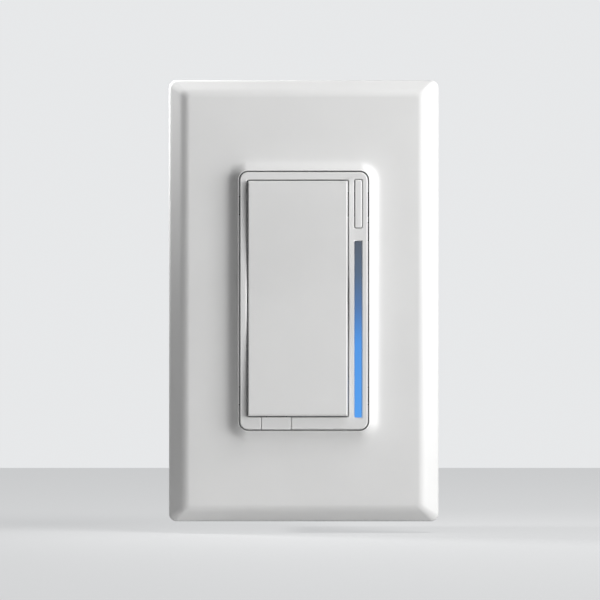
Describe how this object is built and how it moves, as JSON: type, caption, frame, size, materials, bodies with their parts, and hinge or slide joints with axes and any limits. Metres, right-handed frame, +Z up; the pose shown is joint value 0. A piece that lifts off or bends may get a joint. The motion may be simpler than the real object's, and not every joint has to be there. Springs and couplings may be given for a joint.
{
  "type": "smart dimmer switch",
  "caption": "Rocker-paddle smart dimmer switch with a small button, a column of light and an air-gap tab in a bezel, behind a screwless clip-on cover, with its yoke and housing.",
  "frame": {"origin": "on the wall plane, midway between the two box screws", "axes": "+X to the right seen from the room, +Y into the wall, +Z up; the front faces -Y"},
  "size_m": [0.0698, 0.0436, 0.1142],
  "materials": {
    "cover_plastic": "satin white plastic, very fine grain",
    "bezel_plastic": "smooth satin white plastic",
    "paddle_plastic": "smooth satin white plastic",
    "button_plastic": "smooth satin white plastic",
    "base_plastic": "matt off-white plastic",
    "light_pipe": "clear diffusing plastic lit blue",
    "aluminium": "stamped, lightly brushed",
    "zinc_steel": "zinc plated",
    "green_screw": "green dyed zinc",
    "brass": "plain",
    "copper": "plain or enamelled",
    "housing_plastic": "moulded black, fine grain",
    "fibre": "pressed fibre",
    "circuit_board": "green solder mask",
    "component_black": "moulded",
    "silicone": "soft silicone",
    "white_nylon": "reflective white",
    "tinned_steel": "tinned",
    "ferrite": "sintered",
    "film_case": "cast resin in a box",
    "can_sleeve": "shrunk sleeve on a can",
    "ceramic_blue": "dipped epoxy",
    "heat_pad": "soft pad"
  },
  "bodies": {
    "root": {"wall_plate_cover": "cover_plastic", "wall_plate_base": "base_plastic", "plate_screws": "zinc_steel", "bezel": "bezel_plastic", "light_bar": "light_pipe", "paddle_spring": "zinc_steel", "yoke": "aluminium", "box_screws": "zinc_steel", "screw_retainer_top": "fibre", "screw_retainer_bottom": "fibre", "ground_screw": "green_screw", "housing_cover": "housing_plastic", "rear_housing": "housing_plastic", "housing_screws": "zinc_steel", "terminal_screws": "brass", "clamp_plate_line": "brass", "clamp_plate_load": "brass", "clamp_plate_neutral": "brass", "clamp_plate_traveler": "brass", "terminal_bracket_line": "copper", "terminal_bracket_load": "copper", "terminal_bracket_neutral": "copper", "terminal_bracket_traveler": "copper", "control_board": "circuit_board", "power_board": "circuit_board", "board_connector": "component_black", "radio_module": "circuit_board", "radio_shield": "tinned_steel", "tact_switch_up": "component_black", "tact_switch_down": "component_black", "tact_switch_config": "component_black", "tact_cap_up": "silicone", "tact_cap_down": "silicone", "tact_cap_config": "silicone", "status_leds": "white_nylon", "light_baffle": "white_nylon", "mosfet_top": "component_black", "mosfet_bottom": "component_black", "heat_pad_top": "heat_pad", "heat_pad_bottom": "heat_pad", "heat_sink_screws": "zinc_steel", "choke_core": "ferrite", "choke_winding": "copper", "film_capacitor": "film_case", "bulk_capacitor": "can_sleeve", "supply_transformer": "ferrite", "fuse": "white_nylon", "varistor": "ceramic_blue", "air_gap_leaf": "brass", "air_gap_contact": "copper"},
    "paddle": {"paddle": "paddle_plastic"},
    "config_button": {"config_button": "button_plastic"},
    "air_gap_tab": {"air_gap_tab": "bezel_plastic"}
  },
  "joints": [
    {"name": "paddle_rock", "type": "hinge", "parent": "root", "child": "paddle", "pos_m": [-0.00155, -0.0046, 0.0006], "axis": [1, 0, 0], "range_deg": [-2, 2], "stiffness_Nm_per_rad": 2.4, "deforming": ["paddle_spring", "tact_cap_up", "tact_cap_down"]},
    {"name": "config_press", "type": "slide", "parent": "root", "child": "config_button", "axis": [0, 1, 0], "range_m": [0, 0.0004], "stiffness_N_per_m": 2400, "deforming": ["tact_cap_config"]},
    {"name": "air_gap_pull", "type": "slide", "parent": "root", "child": "air_gap_tab", "axis": [0, -1, 0], "range_m": [0, 0.003], "deforming": ["air_gap_leaf"]}
  ]
}
